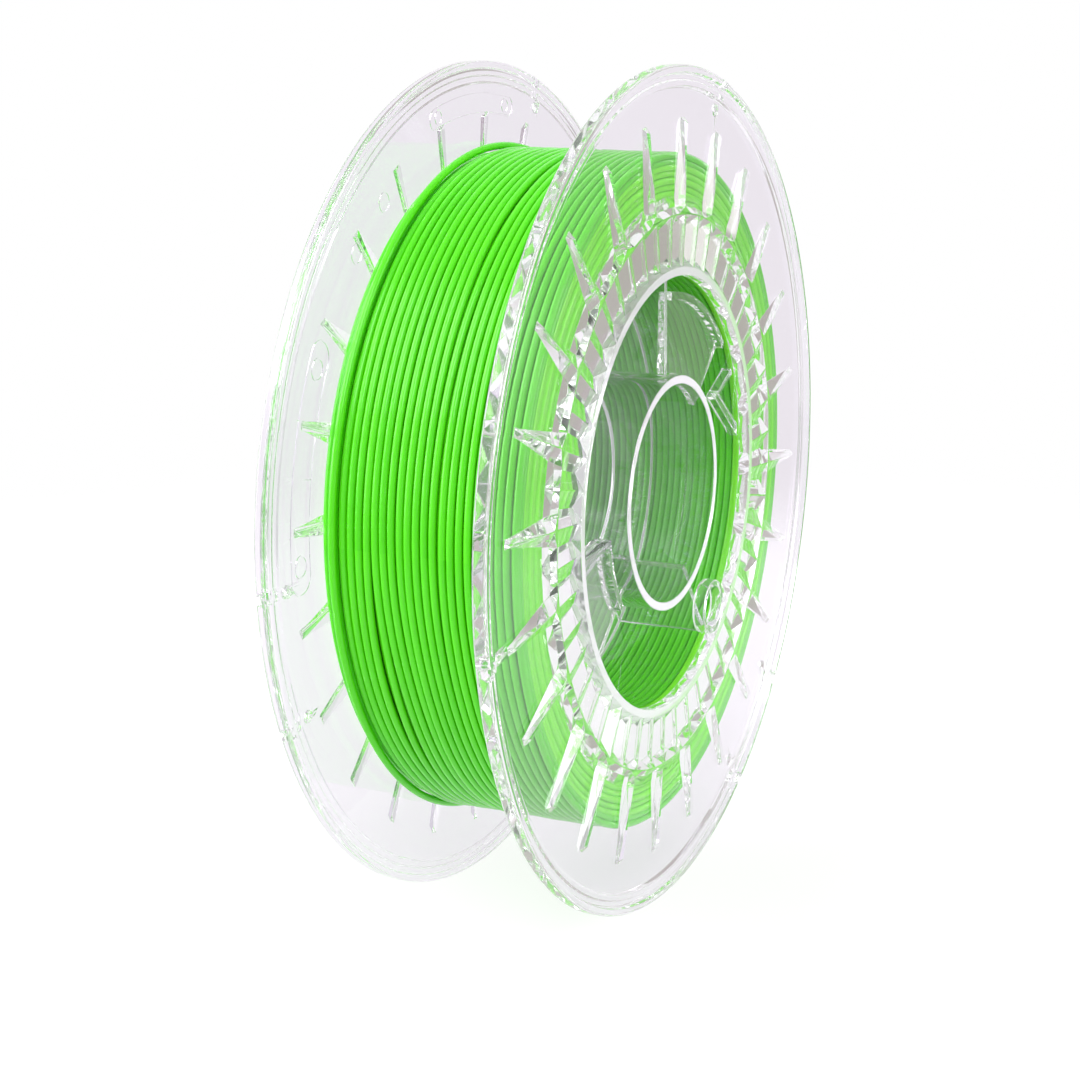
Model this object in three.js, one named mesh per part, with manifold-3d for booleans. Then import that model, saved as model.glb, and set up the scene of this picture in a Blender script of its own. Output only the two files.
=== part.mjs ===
// A clear plastic filament spool: two injection-moulded halves, each with a flange, half of the
// winding drum and half of the spindle tube, carrying a full winding of 1.75 mm filament.
// Millimetres. The spool turns about Y, its middle plane is y = 0, and +Z is up.
// "near" is the half at -Y. "far" is the same moulding turned over to face it.
import * as THREE from 'three';
import { mergeVertices } from 'three/addons/utils/BufferGeometryUtils.js';
import { ConvexGeometry } from 'three/addons/geometries/ConvexGeometry.js';
import Module from 'manifold-3d';

const wasm = await Module();
wasm.setup();

// ---- Driving dimensions ------------------------------------------------------------------
const FLANGE_RADIUS = 100; // to the flats of the faceted round
const SPOOL_WIDTH = 54; // over the outer faces of both rims
const BORE_RADIUS = 26; // the spindle hole
const TUBE_RADIUS = 28; // outside of the spindle tube
const DRUM_INNER_RADIUS = 51.5; // also the radius of the flange's big opening
const DRUM_OUTER_RADIUS = 53.5; // the filament is wound on this
const WINDING_RADIUS = 80;
const FILAMENT_DIAMETER = 1.75;
const RAY_COUNT = 24;
const RAY_PHASE = 4.6; // degrees that the first ray leans from straight up, towards +X

// ---- Dimensions of the flange ------------------------------------------------------------
const RIM_INNER_RADIUS = 94.8;
const RIM_STEP_RADIUS = 97.8; // the raised lip lies outside this
const RIM_STEP = 0.9; // the inner land lies this far below the lip
const RIM_DEPTH = 3.4; // axial
const RIM_CHAMFER = 0.6;
const WEB_RECESS = 1.8; // the web's outer face lies this far below the lip
const WEB_THICKNESS = 1.6;
const LIP_WIDTH = 1.6; // smooth ring round the opening
const CREST_RADIUS = 66; // outer edge of the raised, fluted ring
const CROWN_RADIUS = 70; // outer edge of the sloping facets round it
const CREST_WIDTH = 0.8; // flat land between the flutes and the crest
const RAY_TIP_RADIUS = 88;
const RELIEF_TOP = 0.1; // the rays and facets stop this far below the lip
const RAY_BASE_HALF_WIDTH = 2.9;
const RAY_TIP_HALF_WIDTH = 1;
const RIDGE_HALF_WIDTH = 0.35;
const FLUTES_PER_RAY = 2;
const FLUTE_DEPTH = 1.5;
const FLUTE_END_SLOPE = 2.4; // radial length of each flute's sloping ends
const FLUTE_LAND = 0.3; // flat land between neighbouring flutes
const THREADING_HOLE_RADIUS = 1.5; // holds the loose end of the filament
const THREADING_HOLE_PLACE = 92.6; // from the axis
const THREADING_ANGLES = [72, 190, 299, 318]; // degrees from +X towards +Z
const RIM_NOTCH_WIDTH = 2.2;

// ---- Dimensions inside the hub -----------------------------------------------------------
const RIB_THICKNESS = 2;
const RIBS = [
  { angle: 91, front: 2.2 },
  { angle: 222, front: 4 },
  { angle: 305.5, front: 3.6 },
];
const PLATE_FRONT = 3.4; // depth of the latch plates below the lip
const PLATE_THICKNESS = 1.5;
const WALL_BACK = 6; // the latch plates' walls reach this deep
const WALL_RISE = 1.6; // and stand this far out of the plate, towards the opening
const WALL_THICKNESS = 1.8;
const LATCH_PLATES = [
  { name: 'latch_plate_a', from: 40, to: 88, inner: 28.4, outer: 47.5, wallAt: 45.7 },
  { name: 'latch_plate_b', from: 187, to: 219, inner: 33.5, outer: 51.1, wallAt: 33.5 },
];
const HOOK = { from: 4.7, to: 26, inner: 38.6, outer: 51.1, back: 6 };
const EYE = { angle: 308, radius: 6.8, hole: 5.2, place: 44, back: 3.1 };

// ---- Facets and gaps ---------------------------------------------------------------------
const ROUND_SEGMENTS = 48;
const GAP = 0.3; // between neighbouring solids
const HALF_WIDTH = SPOOL_WIDTH / 2;
const TURN_OVER_ANGLE = 71.25; // the far half is turned over about a line at this angle
const WEB_INNER_FACE = WEB_RECESS + WEB_THICKNESS; // depths are measured from the lip's face
const FLUTE_COUNT = RAY_COUNT * FLUTES_PER_RAY;

// ---- Materials ---------------------------------------------------------------------------
const clear = new THREE.MeshStandardMaterial({
  name: 'clear_plastic', color: 0xe9e6ef, roughness: 0.05, metalness: 0,
  transparent: true, opacity: 0.3,
});
const green = new THREE.MeshStandardMaterial({
  name: 'green_filament', color: 0x3fd011, roughness: 0.3, metalness: 0,
});

// ---- Solids ------------------------------------------------------------------------------
const radians = THREE.MathUtils.degToRad;

function toSolid(geometry) {
  const bare = geometry.index ? geometry.toNonIndexed() : geometry.clone();
  bare.deleteAttribute('normal');
  bare.deleteAttribute('uv');
  const merged = mergeVertices(bare, 1e-4);
  const mesh = new wasm.Mesh({
    numProp: 3,
    vertProperties: new Float32Array(merged.attributes.position.array),
    triVerts: new Uint32Array(merged.index.array),
  });
  return new wasm.Manifold(mesh);
}

function toGeometry(solid) {
  const mesh = solid.getMesh();
  const geometry = new THREE.BufferGeometry();
  geometry.setAttribute('position', new THREE.BufferAttribute(mesh.vertProperties, 3));
  geometry.setIndex(new THREE.BufferAttribute(mesh.triVerts, 1));
  geometry.computeVertexNormals();
  return geometry;
}

// A closed ring from an outline of [radius, depth] corners. Its flats face up, down and sideways.
// Depth runs from the near lip's face, at y = -HALF_WIDTH, towards +Y.
function ring(outline) {
  const stretch = 1 / Math.cos(Math.PI / ROUND_SEGMENTS);
  const corners = [...outline, outline[0]];
  const points = corners.map(([r, depth]) => new THREE.Vector2(r * stretch, depth - HALF_WIDTH));
  return new THREE.LatheGeometry(points, ROUND_SEGMENTS, Math.PI / ROUND_SEGMENTS);
}

function plainRing(inner, outer, front, back) {
  return ring([[inner, front], [outer, front], [outer, back], [inner, back]]);
}

// A point at a radius, a sideways offset and a depth, before it is turned about the axis.
function spot(radius, sideways, depth) {
  return new THREE.Vector3(radius, depth - HALF_WIDTH, sideways);
}

// Turns a geometry about Y so that +X goes to an angle, in degrees from +X towards +Z.
function turned(geometry, degrees) {
  return geometry.rotateY(-radians(degrees));
}

// A tapered bar with a narrow flat ridge and sloping ends, standing on the web.
function ridgedBar(from, to, halfFrom, halfTo, endSlope) {
  const sunk = WEB_RECESS + 0.5;
  const top = RELIEF_TOP;
  const points = [];
  for (const side of [-1, 1]) {
    points.push(spot(from, side * halfFrom, sunk));
    points.push(spot(to, side * halfTo, sunk));
    points.push(spot(from + endSlope, side * RIDGE_HALF_WIDTH, top));
    points.push(spot(to - endSlope, side * RIDGE_HALF_WIDTH, top + 0.2));
  }
  return new ConvexGeometry(points);
}

// A slab between two radii and two angles, between two depths.
function sector(inner, outer, from, to, front, back) {
  const shape = new THREE.Shape();
  shape.absarc(0, 0, outer, radians(from), radians(to), false);
  shape.absarc(0, 0, inner, radians(to), radians(from), true);
  shape.closePath();
  const settings = { depth: back - front, bevelEnabled: false, curveSegments: 8 };
  const slab = new THREE.ExtrudeGeometry(shape, settings);
  return slab.rotateX(Math.PI / 2).translate(0, back - HALF_WIDTH, 0);
}

// A box centred on a radius, turned to an angle.
function blockAt(radius, degrees, length, width, front, back) {
  const box = new THREE.BoxGeometry(length, back - front, width);
  box.translate(radius, (front + back) / 2 - HALF_WIDTH, 0);
  return turned(box, degrees);
}

// ---- The flange --------------------------------------------------------------------------
function rimNotch(degrees) {
  const length = FLANGE_RADIUS - RIM_INNER_RADIUS;
  return blockAt(RIM_STEP_RADIUS, degrees, length, RIM_NOTCH_WIDTH, -1, RIM_STEP + 0.4);
}

function rim() {
  const outline = [
    [RIM_INNER_RADIUS, RIM_STEP],
    [RIM_STEP_RADIUS, RIM_STEP],
    [RIM_STEP_RADIUS, 0],
    [FLANGE_RADIUS - RIM_CHAMFER, 0],
    [FLANGE_RADIUS, RIM_CHAMFER],
    [FLANGE_RADIUS, RIM_DEPTH - RIM_CHAMFER],
    [FLANGE_RADIUS - RIM_CHAMFER, RIM_DEPTH],
    [RIM_INNER_RADIUS, RIM_DEPTH],
  ];
  let solid = toSolid(ring(outline));
  for (const degrees of THREADING_ANGLES) {
    solid = solid.subtract(toSolid(rimNotch(degrees)));
  }
  return toGeometry(solid);
}

function threadingHole(degrees) {
  const hole = new THREE.CylinderGeometry(THREADING_HOLE_RADIUS, THREADING_HOLE_RADIUS, 8, 10);
  return turned(hole.translate(THREADING_HOLE_PLACE, WEB_INNER_FACE - HALF_WIDTH, 0), degrees);
}

// One sloping block of the crown, between two rays.
function crownFacet() {
  const sunk = WEB_RECESS + 0.5;
  const halfPitch = Math.PI / RAY_COUNT;
  const crestHalf = CREST_RADIUS * halfPitch;
  const footHalf = CROWN_RADIUS * halfPitch - RAY_BASE_HALF_WIDTH;
  return new ConvexGeometry([
    spot(CREST_RADIUS - 1, -crestHalf, sunk),
    spot(CREST_RADIUS - 1, crestHalf, sunk),
    spot(CREST_RADIUS - 0.3, -crestHalf + 1, RELIEF_TOP + 0.1),
    spot(CREST_RADIUS - 0.3, crestHalf - 1, RELIEF_TOP + 0.1),
    spot(CREST_RADIUS + 1.4, 0, RELIEF_TOP + 0.5),
    spot(CROWN_RADIUS, -footHalf, sunk),
    spot(CROWN_RADIUS, footHalf, sunk),
  ]);
}

// The wedge that is cut out of the raised ring to leave one V-shaped flute with sloping ends.
function fluteCutter() {
  const from = DRUM_INNER_RADIUS + LIP_WIDTH;
  const to = CREST_RADIUS - CREST_WIDTH;
  const halfPitch = Math.PI / FLUTE_COUNT;
  const above = RELIEF_TOP - 0.5;
  const grow = (FLUTE_DEPTH + 0.5) / FLUTE_DEPTH; // the wedge widens above the surface
  const points = [];
  for (const side of [-1, 1]) {
    const sidewaysAt = (radius) => side * (radius * halfPitch - FLUTE_LAND / 2) * grow;
    points.push(spot(from - FLUTE_END_SLOPE * (grow - 1), sidewaysAt(from), above));
    points.push(spot(to + FLUTE_END_SLOPE * (grow - 1), sidewaysAt(to), above));
  }
  points.push(spot(from + FLUTE_END_SLOPE, 0, RELIEF_TOP + FLUTE_DEPTH));
  points.push(spot(to - FLUTE_END_SLOPE, 0, RELIEF_TOP + FLUTE_DEPTH));
  return new ConvexGeometry(points);
}

function web() {
  const disc = plainRing(DRUM_INNER_RADIUS, RIM_INNER_RADIUS - GAP, WEB_RECESS, WEB_INNER_FACE);
  const raised = plainRing(DRUM_INNER_RADIUS, CREST_RADIUS, RELIEF_TOP, WEB_INNER_FACE);
  let solid = toSolid(disc).add(toSolid(raised));
  const rayPitch = 360 / RAY_COUNT;
  const flutePitch = 360 / FLUTE_COUNT;
  const first = 90 - RAY_PHASE;
  for (let i = 0; i < RAY_COUNT; i += 1) {
    const from = CREST_RADIUS - 1;
    const ray = ridgedBar(from, RAY_TIP_RADIUS, RAY_BASE_HALF_WIDTH, RAY_TIP_HALF_WIDTH, 1.4);
    solid = solid.add(toSolid(turned(ray, first + i * rayPitch)));
    solid = solid.add(toSolid(turned(crownFacet(), first + (i + 0.5) * rayPitch)));
  }
  for (let i = 0; i < FLUTE_COUNT; i += 1) {
    solid = solid.subtract(toSolid(turned(fluteCutter(), first + (i + 0.5) * flutePitch)));
  }
  for (const degrees of THREADING_ANGLES) {
    solid = solid.subtract(toSolid(threadingHole(degrees)));
  }
  return toGeometry(solid);
}

// ---- The hub -----------------------------------------------------------------------------
function drumHalf() {
  const front = WEB_INNER_FACE + GAP;
  return plainRing(DRUM_INNER_RADIUS, DRUM_OUTER_RADIUS, front, HALF_WIDTH - GAP / 2);
}

function tubeHalf() {
  return plainRing(BORE_RADIUS, TUBE_RADIUS, 0, HALF_WIDTH - GAP / 2);
}

function rib({ angle, front }) {
  const from = TUBE_RADIUS + GAP + 0.1;
  const to = DRUM_INNER_RADIUS - GAP - 0.1;
  return blockAt((from + to) / 2, angle, to - from, RIB_THICKNESS, front, HALF_WIDTH - GAP / 2);
}

// A plate across part of the hub, with a curved wall and a straight wall at its open end.
function latchPlate({ from, to, inner, outer, wallAt }) {
  const back = PLATE_FRONT + PLATE_THICKNESS;
  const front = PLATE_FRONT - WALL_RISE;
  const wallEnd = from + THREE.MathUtils.radToDeg(WALL_THICKNESS / outer);
  const plate = toSolid(sector(inner, outer, from, to, PLATE_FRONT, back));
  const curvedWall = toSolid(sector(wallAt, wallAt + WALL_THICKNESS, from, to, front, WALL_BACK));
  const endWall = toSolid(sector(inner, outer, from, wallEnd, front, WALL_BACK));
  return toGeometry(plate.add(curvedWall).add(endWall));
}

// A bent tongue: a straight leg in from the drum, and a slanting leg back out to it.
function latchHook() {
  const centre = new THREE.Vector2();
  const corner = (radius, degrees) => (
    new THREE.Vector2(radius, 0).rotateAround(centre, radians(degrees))
  );
  const thick = THREE.MathUtils.radToDeg(WALL_THICKNESS / HOOK.outer);
  const shape = new THREE.Shape([
    corner(HOOK.outer, HOOK.to),
    corner(HOOK.inner, HOOK.to),
    corner(HOOK.outer, HOOK.from),
    corner(HOOK.outer, HOOK.from + 2 * thick),
    corner(HOOK.inner + 2 * WALL_THICKNESS, HOOK.to - thick),
    corner(HOOK.outer, HOOK.to - thick),
  ]);
  const settings = { depth: HOOK.back - PLATE_FRONT, bevelEnabled: false };
  const arm = new THREE.ExtrudeGeometry(shape, settings);
  return arm.rotateX(Math.PI / 2).translate(0, HOOK.back - HALF_WIDTH, 0);
}

function latchEye() {
  const outer = new THREE.CylinderGeometry(EYE.radius, EYE.radius, EYE.back, 20);
  const hole = new THREE.CylinderGeometry(EYE.hole, EYE.hole, EYE.back + 2, 20);
  const solid = toSolid(outer).subtract(toSolid(hole));
  const geometry = toGeometry(solid).translate(EYE.place, EYE.back / 2 - HALF_WIDTH, 0);
  return turned(geometry, EYE.angle);
}

// ---- The winding -------------------------------------------------------------------------
function winding() {
  const front = WEB_INNER_FACE + GAP;
  const inner = DRUM_OUTER_RADIUS + GAP;
  const shoulder = FILAMENT_DIAMETER / 2;
  return ring([
    [inner, front],
    [WINDING_RADIUS - shoulder, front],
    [WINDING_RADIUS, front + shoulder],
    [WINDING_RADIUS, SPOOL_WIDTH - front - shoulder],
    [WINDING_RADIUS - shoulder, SPOOL_WIDTH - front],
    [inner, SPOOL_WIDTH - front],
  ]);
}

// ---- Assembly ----------------------------------------------------------------------------
function place(group, name, geometry, material) {
  const mesh = new THREE.Mesh(geometry, material);
  mesh.name = name;
  group.add(mesh);
}

function mouldedHalf(side) {
  const half = new THREE.Group();
  place(half, `rim_${side}`, rim(), clear);
  place(half, `web_${side}`, web(), clear);
  place(half, `drum_${side}`, drumHalf(), clear);
  place(half, `spindle_tube_${side}`, tubeHalf(), clear);
  RIBS.forEach((each, i) => place(half, `rib_${i + 1}_${side}`, rib(each), clear));
  LATCH_PLATES.forEach((plate) => place(half, `${plate.name}_${side}`, latchPlate(plate), clear));
  place(half, `latch_hook_${side}`, latchHook(), clear);
  place(half, `latch_eye_${side}`, latchEye(), clear);
  return half;
}

const spool = new THREE.Group();
const near = mouldedHalf('near');
const far = mouldedHalf('far');
const lean = radians(TURN_OVER_ANGLE);
const turnOverLine = new THREE.Vector3(Math.cos(lean), 0, Math.sin(lean));
far.setRotationFromAxisAngle(turnOverLine, Math.PI);
spool.add(near, far);
place(spool, 'filament_winding', winding(), green);

export default spool;
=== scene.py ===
"""The looks of a clear plastic filament spool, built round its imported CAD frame. Metres, +Z up.

The spool turns about Y, and its middle plane is y = 0. "near" is the moulded half at -Y, and "far" is
the same moulding turned over to face it. Lengths below are in millimetres until they reach a mesh.
Depths are measured from the near rim's outer face towards +Y, and angles from +X towards +Z.
"""

import math

import bmesh
import bpy
import numpy as np
from mathutils import Matrix, Vector


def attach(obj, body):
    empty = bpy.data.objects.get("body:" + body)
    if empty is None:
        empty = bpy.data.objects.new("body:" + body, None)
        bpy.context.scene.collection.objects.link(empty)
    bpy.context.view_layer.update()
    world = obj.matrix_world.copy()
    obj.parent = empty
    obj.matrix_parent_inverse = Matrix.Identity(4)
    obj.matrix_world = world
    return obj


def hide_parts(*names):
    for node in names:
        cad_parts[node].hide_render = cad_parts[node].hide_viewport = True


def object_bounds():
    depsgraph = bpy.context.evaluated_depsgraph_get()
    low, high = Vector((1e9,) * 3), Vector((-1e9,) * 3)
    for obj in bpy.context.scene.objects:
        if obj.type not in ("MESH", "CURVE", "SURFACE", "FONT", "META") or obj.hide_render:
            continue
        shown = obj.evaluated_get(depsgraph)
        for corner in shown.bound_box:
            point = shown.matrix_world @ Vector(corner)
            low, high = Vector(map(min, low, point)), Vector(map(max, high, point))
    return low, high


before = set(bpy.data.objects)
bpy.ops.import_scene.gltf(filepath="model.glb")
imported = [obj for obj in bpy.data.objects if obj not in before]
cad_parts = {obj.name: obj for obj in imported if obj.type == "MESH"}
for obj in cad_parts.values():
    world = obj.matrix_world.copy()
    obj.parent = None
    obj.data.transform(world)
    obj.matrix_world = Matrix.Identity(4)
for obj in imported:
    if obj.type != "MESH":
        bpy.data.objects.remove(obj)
cad_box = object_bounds()

MM = 0.001

# ---- Main sizes, from the frame --------------------------------------------------------------
HALF_WIDTH = cad_box[1].y / MM
BORE_RADIUS = 26.0
TUBE_RADIUS = 28.0
OPENING_RADIUS = 51.5
DRUM_RADIUS = 53.5
FILAMENT = 1.75  # diameter
STRAND = FILAMENT / 2

# ---- The flange's face -----------------------------------------------------------------------
RAY_COUNT = 24
FIRST_RAY = 85.4  # degrees
PITCH = 360 / RAY_COUNT
LEVEL = 0.1  # depth of the raised ring and of the rays' ridges
WEB = 1.8  # depth of the web's outer face
BACK = 3.4  # depth of the flange's inner face
FLUTE_FROM = 53.4
FLUTE_TO = 65.7
FLUTE_DEPTH = 1.5
FLUTE_SLOPE = 2.4  # radial length of a flute's sloping ends
FLUTE_LAND = 0.15  # half the flat land between two flutes
CREST = 66.0
CROWN_MIDDLE = 67.5
CROWN_FOOT = 70.0
RAY_END = 86.6
RAY_TIP = 88.0
RIDGE = 0.12  # half width of a ray's flat ridge
RAY_FOOT = 3.1  # half width of a ray where it leaves the crown
RAY_NOSE = 1.05  # half width of a ray at its tip
EDGE = 0.09  # how far edges are rounded
FINE = 4  # columns of the round walls for each column of the fluted face
FINE_FIRST = -11  # the fine column that the first coarse one of a pitch is stitched to
RIM_OUTLINE = [  # radius, depth, from the web out and round to the inner face
    (94.6, WEB), (95.0, 1.0), (95.4, 0.85), (96.3, 0.85), (96.7, 1.35), (97.6, 1.35), (98.1, 0.9),
    (98.3, 0.1), (98.7, 0.0), (99.4, 0.0), (99.8, 0.2), (100.0, 0.6), (100.0, 2.8), (99.8, 3.2),
    (99.4, BACK), (94.8, BACK), (86.0, BACK), (70.0, BACK), (DRUM_RADIUS, BACK),
]
THREADING_ANGLES = [72, 190, 299, 318]
THREADING_PLACE = 92.6
THREADING_RADIUS = 1.5
NOTCH_WIDTH = 2.2

FAR_MARKS = [  # the far half's label frames and dimples: radius, first and last angle, half width
    (90.0, 79.5, 104.0, 2.5), (90.0, 80.6, 80.8, 1.7), (90.0, 102.7, 102.9, 1.7),
    (85.5, 152.0, 184.0, 4.0), (85.5, 153.6, 153.8, 2.4), (85.5, 182.2, 182.4, 2.4),
    (84.5, 123.0, 123.2, 2.3), (84.5, 134.0, 134.2, 2.3),
]
RAIL_WIDTH = 0.35  # of the raised lines round the label frames
RAIL_HEIGHT = 0.2

# ---- Inside the hub --------------------------------------------------------------------------
MIDDLE = HALF_WIDTH - 0.1  # each half's parts end just short of the middle plane
TURN_OVER_ANGLE = 71.25  # the far half is turned over about a line at this angle
AIR = 0.04  # between touching pieces
RIB_THICKNESS = 1.6
RIBS = [(91, 2.2), (222, 4.0), (305.5, 3.6)]  # angle, depth of the front edge
PLATE_FRONT = 3.4
PLATE_THICKNESS = 1.5
PLATE_WALL = 1.8  # thickness of the latch plates' walls
PLATE_WALL_FRONT = 1.8  # depth at which those walls start
PLATE_WALL_BACK = 4.9
CLOSED_WALL_BACK = 6  # on the plate that also has a wall across its end
LATCH_PLATES = [  # name, first and last angle, inner and outer radius, the curved wall's radius, closed
    ("latch_plate_a", 40, 88, 28.4, 47.5, 45.7, False),
    ("latch_plate_b", 187, 219, 33.5, 51.1, 33.5, True),
]
HOOK_OUTLINE = [  # radius, angle
    (51.4, 26), (38.6, 26), (51.4, 4.7), (51.4, 8.7), (42.2, 24), (51.4, 24),
]
HOOK_FRONT = 3.4
HOOK_BACK = 6
EYE_OUTLINE = [(5.2, 0.0), (6.8, 0.0), (6.8, 3.1), (5.2, 3.1)]  # radius, depth
EYE_ANGLE = 308
EYE_PLACE = 44  # from the spool's axis

# ---- The winding -----------------------------------------------------------------------------
SEED = 7
STEPS = 192  # round one turn
OUTER_RADIUS = 80 - STRAND  # to the middle of the outermost layer's strands
OUTER_TURNS = 22
OUTER_GAP = 0.22  # between two turns of the outermost layer, before it is stretched to its width
GAP_CHANGE = 0.13
LEAST_GAP = 0.02
WIDE_GAPS = [  # after which turn, at what angle, over how many degrees, and how much wider
    (4, 203, 16, 1.2), (5, 212, 14, 0.8), (11, 115, 35, 0.8), (12, 165, 30, 0.4),
]
NEAR_END = BACK + 0.3 + STRAND  # depth of the first turns inside the near flange
FAR_END = 2 * HALF_WIDTH - NEAR_END
OUTER_TO = 2 * HALF_WIDTH - 7.3  # depth of the outermost layer's last turn, by the far flange
SECOND_LAYER_DROP = 1.55  # below the outermost layer
SECOND_LAYER_TURNS = 24
INNER_LAYER_TURNS = 25
INNER_LAYER_INSET = 1.9
END_LAYER_PITCH = 1.56  # from one layer to the next

# ---- Finishes --------------------------------------------------------------------------------
CLEAR_IOR = 1.585
CLEAR_TINT = (0.93, 0.908, 0.945)  # of each surface that light passes
WEB_LETS_IN = (0.99, 0.985, 0.99)  # of the light that shines on through each of its surfaces
HEAD_ON_GLOSS = 0.05  # the share of light that a clear surface reflects head on
GLOSS_POWER = 1.7  # more keeps slanting surfaces clearer
MATT_COLOUR = (0.93, 0.915, 0.945)
FLANGE_HAZE = 0.017  # the share of light that a clear surface scatters
HUB_HAZE = 0.036
LIP_HAZE = 0.32  # on the matt lip round the opening, and on the tube's ends
INNER_SHARE = 0.3  # of that haze, on the walls of the drum and of the tube
RIM_HAZE = 0.025  # outside RIM_FROM
RIM_FROM = 94.7
# Painted green bounce: the hub's scattered light is tinted green to stand in for light thrown on it by
# the green winding; the clear plastic itself is not green.
HUB_PAINTED_GREEN_BOUNCE = (0.70, 0.93, 0.66)
GREEN_RANGE = (0.060, 0.52, 0.003), (0.080, 0.59, 0.005)
PAINTED_LIT_END_GREEN_RANGE = (0.12, 0.66, 0.005), (0.16, 0.73, 0.008)  # painted light: a paler, yellower copy of the green for the turns behind the flanges, standing in for the stronger light that falls on them

# ---- Floor, light and camera -----------------------------------------------------------------
FLOOR_RADIUS = 0.55  # metres
FLOOR_FADE = (0.3, 0.5)  # metres from the middle, where the floor starts and ends fading out
FLOOR_PAINT = 0.27
FLOOR_GLOW = 0.655
SKY_BASE = (0.80, 0.80, 0.80)
SKY = [  # azimuth, elevation, half width, half height, softness, colour
    (-40, -10, 42, 60, 6, (0.50, 0.46, 0.43)),
    (28, -5, 34, 70, 6, (1.02, 1.02, 1.02)),
    (-72, 13, 12, 17, 3, (8, 8, 8)),
    (112, 23, 28, 26, 8, (5.5, 5.5, 5.5)),
    (203, 50, 8, 20, 3, (11, 11, 11)),
]
LENS = 77.85
SENSOR = 36
LENS_SHIFT = (-0.0284, -0.0528)
CAMERA_AZIMUTH = -65.5
CAMERA_ELEVATION = 12.477
CAMERA_DISTANCE = 0.563832  # metres
BOUNCES = 32


# ---- Materials -------------------------------------------------------------------------------
def new_material(name):
    material = bpy.data.materials.new(name)
    material.use_nodes = True
    tree = material.node_tree
    tree.nodes.clear()
    return material, tree


def add_node(tree, kind, inputs=None, **settings):
    made = tree.nodes.new(kind)
    for key, value in settings.items():
        setattr(made, key, value)
    for key, value in (inputs or {}).items():
        if isinstance(value, bpy.types.NodeSocket):
            tree.links.new(value, made.inputs[key])
        else:
            made.inputs[key].default_value = value
    return made


def noise(tree, where, scale, detail=2.0, stretch=(1, 1, 1)):
    mapping = add_node(tree, "ShaderNodeMapping", {"Vector": where, "Scale": stretch})
    inputs = {"Vector": mapping.outputs[0], "Scale": scale, "Detail": detail}
    return add_node(tree, "ShaderNodeTexNoise", inputs).outputs["Fac"]


def spread(tree, value, low, high):
    inputs = {"Value": value, "From Min": 0.3, "From Max": 0.7, "To Min": low, "To Max": high}
    return add_node(tree, "ShaderNodeMapRange", inputs).outputs["Result"]


def round_the_spool(tree):
    """Coordinates along the turns, across the spool and out from its axis, in metres."""
    place = add_node(tree, "ShaderNodeTexCoord").outputs["Object"]
    parts = add_node(tree, "ShaderNodeSeparateXYZ", {0: place}).outputs
    turn = add_node(tree, "ShaderNodeMath", {0: parts["Z"], 1: parts["X"]}, operation="ARCTAN2")
    along = add_node(tree, "ShaderNodeMath", {0: turn.outputs[0], 1: 0.07}, operation="MULTIPLY")
    flat = add_node(tree, "ShaderNodeCombineXYZ", {"X": parts["X"], "Z": parts["Z"]})
    out = add_node(tree, "ShaderNodeVectorMath", {0: flat.outputs[0]}, operation="LENGTH")
    inputs = {"X": along.outputs[0], "Y": parts["Y"], "Z": out.outputs["Value"]}
    return add_node(tree, "ShaderNodeCombineXYZ", inputs).outputs[0]


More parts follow.
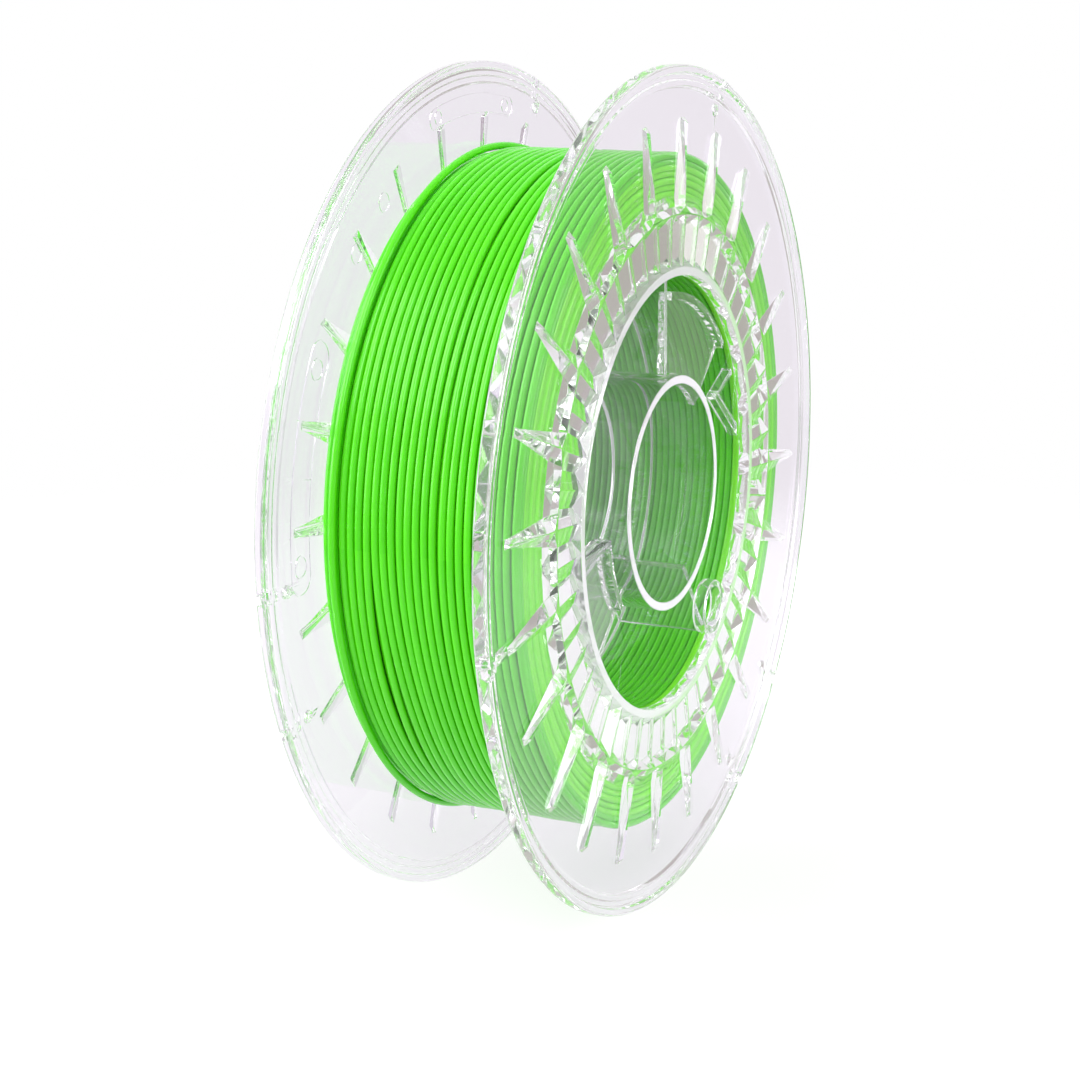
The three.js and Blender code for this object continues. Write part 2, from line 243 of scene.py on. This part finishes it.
def clear_plastic(name, haze, haze_and_painted_bounce_colour, lip_radius):
    """Clear polystyrene with a faint lilac toner, slow ripples from the mould's flow and fine scuffs.

    haze: the share of light scattered. Inside lip_radius, in mm, faces across the axis are matt, and
    the rest have only INNER_SHARE of the haze."""
    material, tree = new_material(name)
    where = add_node(tree, "ShaderNodeTexCoord")
    spool = round_the_spool(tree)
    ripple = noise(tree, spool, 35, 1)
    scuff = noise(tree, spool, 900, 3, (0.2, 1, 1))
    bump = add_node(tree, "ShaderNodeBump", {"Height": ripple, "Strength": 0.01, "Distance": 0.0004})
    fine = add_node(tree, "ShaderNodeBump", {
        "Height": scuff, "Strength": 0.01, "Distance": 0.00002, "Normal": bump.outputs[0],
    })
    surface = {"Roughness": spread(tree, scuff, 0.0, 0.04), "Normal": fine.outputs[0]}
    through = add_node(tree, "ShaderNodeBsdfRefraction",
                       {"Color": (*CLEAR_TINT, 1), "IOR": CLEAR_IOR, **surface})
    gloss = add_node(tree, "ShaderNodeBsdfAnisotropic", {"Color": (1, 1, 1, 1), **surface})
    facing = add_node(tree, "ShaderNodeFresnel", {"IOR": CLEAR_IOR, "Normal": fine.outputs[0]}).outputs[0]
    beyond = add_node(tree, "ShaderNodeMapRange",
                      {"Value": facing, "From Min": HEAD_ON_GLOSS, "From Max": 1}).outputs[0]
    bent = add_node(tree, "ShaderNodeMath", {0: beyond, 1: GLOSS_POWER}, operation="POWER").outputs[0]
    share = add_node(tree, "ShaderNodeMapRange", {"Value": bent, "To Min": HEAD_ON_GLOSS, "To Max": 1})
    glass = add_node(tree, "ShaderNodeMixShader",
                     {0: share.outputs[0], 1: through.outputs[0], 2: gloss.outputs[0]}).outputs[0]

    across = add_node(tree, "ShaderNodeSeparateXYZ", {0: where.outputs["Normal"]}).outputs["Y"]
    flat = add_node(tree, "ShaderNodeMath", {0: across}, operation="ABSOLUTE").outputs[0]
    facing_out = add_node(tree, "ShaderNodeMapRange", {"Value": flat, "From Min": 0.8, "From Max": 0.95})
    out = add_node(tree, "ShaderNodeSeparateXYZ", {0: spool}).outputs["Z"]
    inside = add_node(tree, "ShaderNodeMath", {0: out, 1: lip_radius * MM},
                      operation="LESS_THAN").outputs[0]
    matt = add_node(tree, "ShaderNodeMath", {0: facing_out.outputs[0], 1: inside}, operation="MULTIPLY")
    cloud = spread(tree, noise(tree, spool, 150, 2), 0.85 * haze, 1.15 * haze)
    clearer = add_node(tree, "ShaderNodeMath", {0: cloud, 1: INNER_SHARE}, operation="MULTIPLY")
    inner = add_node(tree, "ShaderNodeMix", {"Factor": inside, "A": cloud, "B": clearer.outputs[0]})
    level = add_node(tree, "ShaderNodeMix",
                     {"Factor": matt.outputs[0], "A": inner.outputs[0], "B": LIP_HAZE})
    rim = add_node(tree, "ShaderNodeMath", {0: out, 1: RIM_FROM * MM}, operation="GREATER_THAN")
    scattered = add_node(tree, "ShaderNodeMix",
                         {"Factor": rim.outputs[0], "A": level.outputs[0], "B": RIM_HAZE})
    # The scattered light's colour: the plastic's own lilac on the flanges, and on the hub a green painted
    # in for light bounced from the winding.
    shade = add_node(tree, "ShaderNodeMix",
                     {"Factor": matt.outputs[0], 6: (*haze_and_painted_bounce_colour, 1), 7: (*MATT_COLOUR, 1)},
                     data_type="RGBA")
    milk_and_painted_bounce = add_node(tree, "ShaderNodeBsdfDiffuse", {"Color": shade.outputs[2]}).outputs[0]
    hazy = add_node(tree, "ShaderNodeMixShader", {0: scattered.outputs[0], 1: glass, 2: milk_and_painted_bounce}).outputs[0]

    let_in = add_node(tree, "ShaderNodeMix",
                      {"Factor": inside, 6: (*WEB_LETS_IN, 1), 7: (*CLEAR_TINT, 1)}, data_type="RGBA")
    passing = add_node(tree, "ShaderNodeBsdfTransparent", {"Color": let_in.outputs[2]}).outputs[0]
    path = add_node(tree, "ShaderNodeLightPath").outputs
    soft = add_node(tree, "ShaderNodeMath", {0: path["Is Shadow Ray"], 1: path["Is Diffuse Ray"]},
                    operation="MAXIMUM").outputs[0]
    mixed = add_node(tree, "ShaderNodeMixShader", {0: soft, 1: hazy, 2: passing})
    add_node(tree, "ShaderNodeOutputMaterial", {"Surface": mixed.outputs[0]})
    return material


def green_filament(name, darker, lighter):
    """Glossy green filament: slow changes of shade along a strand, and fine drawing marks."""
    material, tree = new_material(name)
    where = round_the_spool(tree)
    shade = spread(tree, noise(tree, where, 300, 3, (0.1, 1, 1)), 0.0, 1.0)
    colour = add_node(tree, "ShaderNodeMix", {"Factor": shade, 6: (*darker, 1), 7: (*lighter, 1)},
                      data_type="RGBA")
    marks = noise(tree, where, 700, 1, (0.02, 1, 1))
    bump = add_node(tree, "ShaderNodeBump", {"Height": marks, "Strength": 0.01, "Distance": 0.00002})
    body = add_node(tree, "ShaderNodeBsdfPrincipled", {
        "Base Color": colour.outputs[2], "Roughness": spread(tree, marks, 0.13, 0.19),
        "IOR": 1.46, "Specular IOR Level": 0.5, "Normal": bump.outputs[0],
    })
    add_node(tree, "ShaderNodeOutputMaterial", {"Surface": body.outputs[0]})
    return material


CLEAR = clear_plastic("clear_plastic", FLANGE_HAZE, MATT_COLOUR, FLUTE_FROM + 0.1)
# The hub's plastic scatters a green painted in for the winding's bounced light.
HUB_CLEAR = clear_plastic("hub_plastic", HUB_HAZE, HUB_PAINTED_GREEN_BOUNCE, TUBE_RADIUS + 0.1)
GREEN = green_filament("green_filament", *GREEN_RANGE)
# A second green, painted lighter: the same filament, lightened to stand in for the light on the turns
# behind the flanges.
PAINTED_LIT_END_GREEN = green_filament("green_end_turns_painted_lit", *PAINTED_LIT_END_GREEN_RANGE)


# ---- Meshes ----------------------------------------------------------------------------------
def place(radius, angle, depth):
    """A point at a radius and an angle in radians, as an array in metres."""
    y = np.broadcast_to(depth - HALF_WIDTH, np.broadcast(radius, angle).shape)
    return np.stack([radius * np.cos(angle), y, radius * np.sin(angle)], axis=-1) * MM


def to_mesh(name, points, faces):
    mesh = bpy.data.meshes.new(name)
    mesh.from_pydata(np.asarray(points).reshape(-1, 3).tolist(), [], faces)
    work = bmesh.new()
    work.from_mesh(mesh)
    bmesh.ops.remove_doubles(work, verts=work.verts, dist=1e-7)
    bmesh.ops.recalc_face_normals(work, faces=work.faces)
    for face in work.faces:
        face.smooth = True
    work.to_mesh(mesh)
    work.free()
    return mesh


def grid_faces(rows, columns):
    """Quads of a grid that closes on itself both ways."""
    faces = []
    for i in range(rows):
        for j in range(columns):
            k, m = (i + 1) % rows, (j + 1) % columns
            faces.append((i * columns + j, i * columns + m, k * columns + m, k * columns + j))
    return faces


def lathe(name, outline, columns=480):
    angles = np.arange(columns) * 2 * math.pi / columns
    rows = [place(np.full(columns, r), angles, d) for r, d in outline]
    return to_mesh(name, rows, grid_faces(len(rows), columns))


def extruded(name, outline, front, back):
    """A slab whose outline is a list of (radius, degrees)."""
    radii = np.array([p[0] for p in outline], float)
    angles = np.radians([p[1] for p in outline])
    count = len(outline)
    faces = [tuple(range(count)), tuple(range(count, 2 * count))]
    for i in range(count):
        k = (i + 1) % count
        faces.append((i, k, count + k, count + i))
    return to_mesh(name, [place(radii, angles, front), place(radii, angles, back)], faces)


def arc(radius, start, end, steps=12):
    return [(radius, start + (end - start) * i / steps) for i in range(steps + 1)]


def sector(inner, outer, start, end, steps=12):
    return arc(outer, start, end, steps) + arc(inner, end, start, steps)


def combined(name, meshes, operation):
    """The first mesh joined with the others or cut by them, as one mesh."""
    objects = [bpy.data.objects.new(name, mesh) for mesh in meshes]
    for each in objects:
        bpy.context.scene.collection.objects.link(each)
    for other in objects[1:]:
        step = objects[0].modifiers.new("step", "BOOLEAN")
        step.operation = operation
        step.solver = "EXACT"
        step.object = other
    made = evaluated(name, objects[0])
    for each in objects:
        bpy.data.objects.remove(each)
    return made


def evaluated(name, thing):
    """The thing's mesh with its modifiers applied."""
    graph = bpy.context.evaluated_depsgraph_get()
    made = bpy.data.meshes.new_from_object(thing.evaluated_get(graph), depsgraph=graph)
    made.name = name
    return made


def rounded(name, mesh, width, segments=2, angle=14):
    """The mesh with its sharp edges rounded."""
    thing = bpy.data.objects.new(name, mesh)
    bpy.context.scene.collection.objects.link(thing)
    bevel = thing.modifiers.new("edges", "BEVEL")
    bevel.limit_method = "ANGLE"
    bevel.angle_limit = math.radians(angle)
    bevel.width = width * MM
    bevel.segments = segments
    made = evaluated(name, thing)
    bpy.data.objects.remove(thing)
    return made


def add_piece(name, mesh, material, replaced):
    mesh.name = name
    mesh.materials.clear()
    mesh.materials.append(material)
    for polygon in mesh.polygons:
        polygon.use_smooth = True
    thing = bpy.data.objects.new(name, mesh)
    bpy.context.scene.collection.objects.link(thing)
    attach(thing, "root")
    if replaced:
        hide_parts(*replaced)
    return thing


line = Vector((math.cos(math.radians(TURN_OVER_ANGLE)), 0, math.sin(math.radians(TURN_OVER_ANGLE))))
TURN_OVER = Matrix.Rotation(math.pi, 4, line)


def add_moulded(name, near, replaced, material, far=None):
    """The near piece, and the same one, or its own, turned over for the far half."""
    for side, mesh in (("near", near.copy()), ("far", (far or near).copy())):
        if side == "far":
            mesh.transform(TURN_OVER)
        nodes = [f"{node}_{side}" for node in replaced]
        thing = add_piece(f"{name}_{side}", mesh, material, nodes)
        normals = thing.modifiers.new("normals", "WEIGHTED_NORMAL")
        normals.weight = 100


# ---- The flange ------------------------------------------------------------------------------
def fluted_row(radius, offsets, depths):
    """One row of the fluted face. offsets: from a ray's middle to its ridge's edge, to its foot or a
    flute's bottom, and from the middle of the gap between rays back to that gap's own ridge."""
    half = radius * math.radians(PITCH / 2)
    ridge, foot, middle = offsets
    side = np.array([ridge, foot, half - middle]) / radius
    across = np.concatenate([-side[::-1], side])
    depth = np.concatenate([depths[::-1], depths])
    middles = np.radians(FIRST_RAY + PITCH * np.arange(RAY_COUNT))
    angles = (middles[:, None] + across[None, :]).ravel()
    return place(np.full(angles.shape, float(radius)), angles, np.tile(depth, RAY_COUNT))


def round_row(radius, depth):
    per_pitch = 6 * FINE
    steps = np.arange(RAY_COUNT * per_pitch) + FINE_FIRST
    angles = np.radians(FIRST_RAY + PITCH * steps / per_pitch)
    return place(np.full(angles.shape, float(radius)), angles, depth)


def stitches(coarse, fine, stitched):
    """Flat faces between a coarse row and a fine one, whose first points have these numbers."""
    faces = []
    coarse_count, fine_count = 6 * RAY_COUNT, 6 * FINE * RAY_COUNT
    for pitch in range(RAY_COUNT):
        for j in range(6):
            start = pitch * 6 * FINE + stitched[j]
            end = pitch * 6 * FINE + (stitched + [6 * FINE])[j + 1]
            run = [fine + k % fine_count for k in range(start, end + 1)]
            ends = [coarse + (pitch * 6 + j + 1) % coarse_count, coarse + pitch * 6 + j]
            faces.append(tuple(run + ends))
    return faces


def fluted_faces(rows, hollow):
    """Triangles of the fluted face, each quad folded along its deeper or higher diagonal."""
    points = np.stack(rows)
    columns = points.shape[1]
    faces = []
    for i in range(len(rows) - 1):
        for j in range(columns):
            m = (j + 1) % columns
            a, b, c, d = (i, j), (i, m), (i + 1, m), (i + 1, j)
            corners = [p * columns + q for p, q in (a, b, c, d)]
            rise = points[a][1] + points[c][1] - points[b][1] - points[d][1]
            if abs(rise) < 1e-7:
                faces.append(tuple(corners))
            elif (rise > 0) == (i < hollow):
                faces += [(corners[0], corners[1], corners[2]), (corners[0], corners[2], corners[3])]
            else:
                faces += [(corners[0], corners[1], corners[3]), (corners[1], corners[2], corners[3])]
    return faces


def flange_body():
    valley = LEVEL + FLUTE_DEPTH
    flutes = [  # radius, depth of the flute's bottom
        (FLUTE_FROM, LEVEL), (FLUTE_FROM + FLUTE_SLOPE, valley),
        (FLUTE_TO - FLUTE_SLOPE, valley), (FLUTE_TO, LEVEL),
    ]
    fluted = []
    for radius, depth in flutes:
        bottom = radius * math.radians(PITCH / 4)
        fluted.append(fluted_row(radius, (FLUTE_LAND, bottom, FLUTE_LAND), (LEVEL, depth, LEVEL)))
    hollow = len(fluted) - 1  # up to this row, a quad folds down and not up
    fluted.append(fluted_row(CREST, (RIDGE, RAY_FOOT + 0.6, 0.2), [LEVEL] * 3))
    fluted.append(fluted_row(CROWN_MIDDLE, (RIDGE, RAY_FOOT + 0.2, 0.2), (LEVEL, 1.45, 0.95)))
    fluted.append(fluted_row(CROWN_FOOT, (RIDGE, RAY_FOOT, 0.2), (LEVEL + 0.02, WEB, WEB)))
    fluted.append(fluted_row(RAY_END, (RIDGE, RAY_NOSE, 0.2), (LEVEL + 0.25, WEB, WEB)))
    fluted.append(fluted_row(RAY_TIP, (RIDGE, RAY_NOSE, 0.2), [WEB] * 3))
    outline = RIM_OUTLINE + [(DRUM_RADIUS, MIDDLE), (OPENING_RADIUS, MIDDLE), (OPENING_RADIUS, LEVEL)]
    round_rows = [round_row(radius, depth) for radius, depth in outline]

    faces = fluted_faces(fluted, hollow)
    first = len(fluted) * 6 * RAY_COUNT
    per_row = 6 * FINE * RAY_COUNT
    last = first + (len(round_rows) - 1) * per_row
    for i in range(len(round_rows) - 1):
        for j in range(per_row):
            a, b = first + i * per_row + j, first + i * per_row + (j + 1) % per_row
            faces.append((a, b, b + per_row, a + per_row))
    spokes = [0, 9, 10, 12, 13, 22]
    halves = [0, 5, 10, 12, 17, 22]
    faces += stitches(first - 6 * RAY_COUNT, first, spokes)
    faces += stitches(0, last, halves)
    points = np.concatenate([np.reshape(row, (-1, 3)) for row in fluted + round_rows])
    return rounded("flange", to_mesh("flange", points, faces), EDGE)


def oblong(radius, start, end, half_width):
    """The outline of a curved oblong with round ends, angles in degrees."""
    turn = math.degrees(half_width / radius)
    outline = []
    for middle, facing in ((end, 90), (start, 270)):
        for step in range(13):
            lean = math.radians(facing - 90 + step * 15)
            outline.append((radius + half_width * math.cos(lean), middle + turn * math.sin(lean)))
        if facing == 90:
            outline += arc(radius - half_width, end, start, 20)[1:-1]
    return outline + arc(radius + half_width, start, end, 20)[1:-1]


def raised_line(radius, start, end, half_width):
    """A low rail along an oblong, on the web's outer face."""
    rail = extruded("rail", oblong(radius, start, end, half_width), WEB - 0.15, WEB + RAIL_HEIGHT)
    hole = extruded("hole", oblong(radius, start, end, half_width - RAIL_WIDTH), WEB - 1, WEB + 1)
    return combined("rail", [rail, hole], "DIFFERENCE")


def flanges():
    """The near flange, and the far one with its label frames."""
    body = flange_body()
    half = math.degrees(NOTCH_WIDTH / 2 / 98)
    cutters = []
    for angle in THREADING_ANGLES:
        drill = extruded("drill", arc(THREADING_RADIUS, 0, 345, 23), -1, BACK + 1)
        drill.transform(Matrix.Rotation(-math.radians(angle), 4, "Y")
                        @ Matrix.Translation((THREADING_PLACE * MM, 0, 0)))
        notch = [(95.2, angle - half), (101, angle - half), (101, angle + half), (95.2, angle + half)]
        cutters += [drill, extruded("notch", notch, -1, 1.3)]
    near = combined("flange", [body] + cutters, "DIFFERENCE")
    rails = [raised_line(radius, 2 * TURN_OVER_ANGLE - end, 2 * TURN_OVER_ANGLE - start, size)
             for radius, start, end, size in FAR_MARKS]
    return near, combined("flange", [near.copy()] + rails, "UNION")


# ---- The hub ---------------------------------------------------------------------------------
def tube():
    return rounded("tube", lathe("tube", [
        (BORE_RADIUS, 0.0), (TUBE_RADIUS, 0.0), (TUBE_RADIUS, MIDDLE), (BORE_RADIUS, MIDDLE),
    ]), 0.2)


def bar(angle, thickness, inner, outer, front, back):
    half_in = math.degrees(thickness / 2 / inner)
    half_out = math.degrees(thickness / 2 / outer)
    outline = [(inner, angle - half_in), (outer, angle - half_out),
               (outer, angle + half_out), (inner, angle + half_in)]
    return extruded("bar", outline, front, back)


def latch_plate(start, end, inner, outer, wall_at, closed):
    """A plate with a wall along one curved edge and, when closed, another wall across its first end."""
    back = CLOSED_WALL_BACK if closed else PLATE_WALL_BACK
    plate = sector(inner, outer, start, end, 48)
    curved = sector(wall_at, wall_at + PLATE_WALL, start, end, 48)
    slabs = [extruded("plate", plate, PLATE_FRONT, PLATE_FRONT + PLATE_THICKNESS),
             extruded("curved", curved, PLATE_WALL_FRONT, back)]
    if closed:
        across = sector(inner, outer, start, start + math.degrees(PLATE_WALL / outer))
        slabs.append(extruded("closing", across, PLATE_WALL_FRONT, back))
    return rounded("latch", combined("latch", slabs, "UNION"), 0.3, 3, 30)


def latch_hook():
    return rounded("hook", extruded("hook", HOOK_OUTLINE, HOOK_FRONT, HOOK_BACK), 0.25, 2, 30)


def latch_eye():
    ring = lathe("eye", EYE_OUTLINE, 96)
    ring.transform(Matrix.Rotation(-math.radians(EYE_ANGLE), 4, "Y")
                   @ Matrix.Translation((EYE_PLACE * MM, 0, 0)))
    return rounded("eye", ring, 0.3, 3)


near_flange, far_flange = flanges()
add_moulded("flange", near_flange, ["rim", "web", "drum"], CLEAR, far_flange)
add_moulded("spindle_tube", tube(), ["spindle_tube"], HUB_CLEAR)
for number, (angle, front) in enumerate(RIBS, 1):
    rib = bar(angle, RIB_THICKNESS, TUBE_RADIUS + AIR, OPENING_RADIUS - AIR, front, MIDDLE)
    add_moulded(f"rib_{number}", rounded("rib", rib, 0.3), [f"rib_{number}"], HUB_CLEAR)
for name, *sizes in LATCH_PLATES:
    add_moulded(name, latch_plate(*sizes), [name], HUB_CLEAR)
add_moulded("latch_hook", latch_hook(), ["latch_hook"], HUB_CLEAR)
add_moulded("latch_eye", latch_eye(), ["latch_eye"], HUB_CLEAR)

# ---- The winding -----------------------------------------------------------------------------
random = np.random.default_rng(SEED)


def smooth_noise(count, steps, waves):
    """Rows of smooth noise round the spool, each from about -1 to 1."""
    angles = np.arange(steps) * 2 * math.pi / steps
    rows = np.zeros((count, steps))
    for wave in range(1, waves + 1):
        size = random.normal(size=(count, 1)) / wave
        shift = random.uniform(0, 2 * math.pi, (count, 1))
        rows += size * np.cos(wave * angles + shift)
    return rows / 1.5


def strands(name, radii, depths, sides):
    """Closed turns of filament. radii and depths: one row for each turn, one column for each step."""
    turns, steps = radii.shape
    angles = np.arange(steps) * 2 * math.pi / steps
    points, faces = [], []
    for turn in range(turns):
        for side in range(sides):
            lean = 2 * math.pi * (side + 0.5) / sides
            radius = radii[turn] + STRAND * math.cos(lean)
            depth = depths[turn] + STRAND * math.sin(lean)
            points.append(place(radius, angles, depth))
        first = turn * sides * steps
        faces += [tuple(first + corner for corner in face) for face in grid_faces(sides, steps)]
    return to_mesh(name, points, faces)


def outer_turns():
    """The outermost layer, from the far side to the near one, with uneven gaps between its turns."""
    angles = np.degrees(np.arange(STEPS) * 2 * math.pi / STEPS)
    gaps = OUTER_GAP + GAP_CHANGE * smooth_noise(OUTER_TURNS - 1, STEPS, 3)
    gaps = np.clip(gaps, LEAST_GAP, None)
    for turn, angle, reach, extra in WIDE_GAPS:
        away = (angles - angle + 180) % 360 - 180
        gaps[turn] += extra * np.exp(-((away / reach) ** 2))
    slack = OUTER_TO - NEAR_END - FILAMENT * (OUTER_TURNS - 1)
    gaps *= slack / gaps.sum(axis=0)
    down = np.concatenate([np.zeros((1, STEPS)), np.cumsum(gaps + FILAMENT, axis=0)])
    radii = OUTER_RADIUS + 0.1 * smooth_noise(OUTER_TURNS, STEPS, 3)
    radii[0] += 1.0
    radii[1] -= 0.5
    return strands("outer_turns", radii, OUTER_TO - down, 18)


def plain_turns(name, count, radius, first, last):
    depths = np.linspace(first, last, count)[:, None] + 0.08 * smooth_noise(count, STEPS, 3)
    return strands(name, radius + 0.05 * smooth_noise(count, STEPS, 3), depths, 8)


def end_turns(name, depth, inward):
    """The turns that show through a flange, one for each layer."""
    layers = np.arange(DRUM_RADIUS + 0.2 + STRAND, OUTER_RADIUS - 1.4, END_LAYER_PITCH)
    count = len(layers)
    radii = layers[:, None] + 0.06 * smooth_noise(count, STEPS, 4)
    steps = np.where(np.arange(count) % 2 == 0, 0.0, 0.35)[:, None]
    depths = depth + inward * (steps + 0.1 * np.abs(smooth_noise(count, STEPS, 4)))
    return strands(name, radii, depths, 8)


def core():
    inner, outer = DRUM_RADIUS + 1.2, OUTER_RADIUS - 2.3
    front = BACK + 1.5
    back = 2 * HALF_WIDTH - front
    outline = [(inner, front), (outer, front), (outer, back), (inner, back)]
    return rounded("core", lathe("core", outline), 0.5)


add_piece("outer_turns", outer_turns(), GREEN, ["filament_winding"])
second_layer = plain_turns("second_layer", SECOND_LAYER_TURNS, OUTER_RADIUS - SECOND_LAYER_DROP,
                           NEAR_END, FAR_END)
add_piece("second_layer", second_layer, GREEN, [])
inner_layer = plain_turns("inner_layer", INNER_LAYER_TURNS, DRUM_RADIUS + 0.1 + STRAND,
                          NEAR_END + INNER_LAYER_INSET, FAR_END - INNER_LAYER_INSET)
add_piece("inner_layer", inner_layer, GREEN, [])
for name, depth, inward in (("end_turns_near", NEAR_END, 1), ("end_turns_far", FAR_END, -1)):
    # The end turns take the green that is painted lighter for the light falling on them.
    add_piece(name, end_turns(name, depth, inward), PAINTED_LIT_END_GREEN, [])
add_piece("winding_core", core(), GREEN, [])


# ---- Floor, light and camera -----------------------------------------------------------------
def floor():
    material, tree = new_material("floor")
    place_on_floor = add_node(tree, "ShaderNodeTexCoord").outputs["Object"]
    away = add_node(tree, "ShaderNodeVectorMath", {0: place_on_floor}, operation="LENGTH")
    inputs = {"Value": away.outputs["Value"], "From Min": FLOOR_FADE[0], "From Max": FLOOR_FADE[1]}
    fade = add_node(tree, "ShaderNodeMapRange", inputs, interpolation_type="SMOOTHSTEP").outputs[0]
    paint = add_node(tree, "ShaderNodeBsdfDiffuse", {"Color": (FLOOR_PAINT, FLOOR_PAINT, FLOOR_PAINT, 1)})
    glow = add_node(tree, "ShaderNodeEmission", {"Color": (1, 1, 1, 1), "Strength": FLOOR_GLOW})
    white = add_node(tree, "ShaderNodeAddShader", {0: paint.outputs[0], 1: glow.outputs[0]})
    gone = add_node(tree, "ShaderNodeBsdfTransparent")
    mixed = add_node(tree, "ShaderNodeMixShader", {0: fade, 1: white.outputs[0], 2: gone.outputs[0]})
    add_node(tree, "ShaderNodeOutputMaterial", {"Surface": mixed.outputs[0]})
    outline = [(FLOOR_RADIUS * math.cos(a), FLOOR_RADIUS * math.sin(a), 0)
               for a in np.linspace(0, 2 * math.pi, 64, endpoint=False)]
    mesh = bpy.data.meshes.new("floor")
    mesh.from_pydata(outline, [], [tuple(range(64))])
    mesh.materials.append(material)
    thing = bpy.data.objects.new("floor", mesh)
    thing.location.z = cad_box[0].z - 0.0005
    bpy.context.scene.collection.objects.link(thing)


def patch(tree, direction, azimuth, elevation, half_width, half_height, softness):
    """1 inside a soft-edged rectangle of sky round a direction, 0 elsewhere. All in degrees."""
    az, el = math.radians(azimuth), math.radians(elevation)
    ahead = (math.cos(az) * math.cos(el), math.sin(az) * math.cos(el), math.sin(el))
    side = (-math.sin(az), math.cos(az), 0)
    up = tuple(Vector(ahead).cross(Vector(side)))
    mask = None
    forward = add_node(tree, "ShaderNodeVectorMath", {0: direction, 1: ahead}, operation="DOT_PRODUCT")
    for axis, half in ((side, half_width), (up, half_height)):
        off = add_node(tree, "ShaderNodeVectorMath", {0: direction, 1: axis}, operation="DOT_PRODUCT")
        inputs = {0: off.outputs["Value"], 1: forward.outputs["Value"]}
        angle = add_node(tree, "ShaderNodeMath", inputs, operation="ARCTAN2")
        size = add_node(tree, "ShaderNodeMath", {0: angle.outputs[0]}, operation="ABSOLUTE")
        inputs = {"Value": size.outputs[0], "From Min": math.radians(half - softness),
                  "From Max": math.radians(half + softness), "To Min": 1.0, "To Max": 0.0}
        edge = add_node(tree, "ShaderNodeMapRange", inputs, interpolation_type="SMOOTHSTEP").outputs[0]
        if mask is None:
            mask = edge
        else:
            mask = add_node(tree, "ShaderNodeMath", {0: mask, 1: edge}, operation="MULTIPLY").outputs[0]
    return mask


def sky():
    world = bpy.data.worlds.new("studio")
    bpy.context.scene.world = world
    world.use_nodes = True
    tree = world.node_tree
    tree.nodes.clear()
    direction = add_node(tree, "ShaderNodeTexCoord").outputs["Generated"]
    colour = add_node(tree, "ShaderNodeRGB").outputs[0]
    colour.default_value = (*SKY_BASE, 1)
    for azimuth, elevation, half_width, half_height, softness, shade in SKY:
        mask = patch(tree, direction, azimuth, elevation, half_width, half_height, softness)
        inputs = {"Factor": mask, 6: colour, 7: (*shade, 1)}
        mixed = add_node(tree, "ShaderNodeMix", inputs, data_type="RGBA", clamp_factor=True)
        colour = mixed.outputs[2]
    studio = add_node(tree, "ShaderNodeBackground", {"Color": colour})
    white = add_node(tree, "ShaderNodeBackground", {"Color": (1, 1, 1, 1), "Strength": 1.0})
    seen = add_node(tree, "ShaderNodeLightPath").outputs["Is Camera Ray"]
    mixed = add_node(tree, "ShaderNodeMixShader", {0: seen, 1: studio.outputs[0], 2: white.outputs[0]})
    add_node(tree, "ShaderNodeOutputWorld", {"Surface": mixed.outputs[0]})


def camera():
    data = bpy.data.cameras.new("camera")
    data.lens = LENS
    data.sensor_width = SENSOR
    data.shift_x, data.shift_y = LENS_SHIFT
    data.clip_start = 0.01
    thing = bpy.data.objects.new("camera", data)
    azimuth, elevation = math.radians(CAMERA_AZIMUTH), math.radians(CAMERA_ELEVATION)
    x, y = math.sin(azimuth) * math.cos(elevation), -math.cos(azimuth) * math.cos(elevation)
    thing.location = CAMERA_DISTANCE * Vector((x, y, math.sin(elevation)))
    thing.rotation_euler = (math.pi / 2 - elevation, 0, azimuth)
    bpy.context.scene.collection.objects.link(thing)
    bpy.context.scene.camera = thing


floor()
sky()
camera()
scene = bpy.context.scene
scene.view_settings.view_transform = "Standard"
scene.cycles.max_bounces = BOUNCES
scene.cycles.glossy_bounces = BOUNCES
scene.cycles.transmission_bounces = BOUNCES
scene.cycles.transparent_max_bounces = BOUNCES
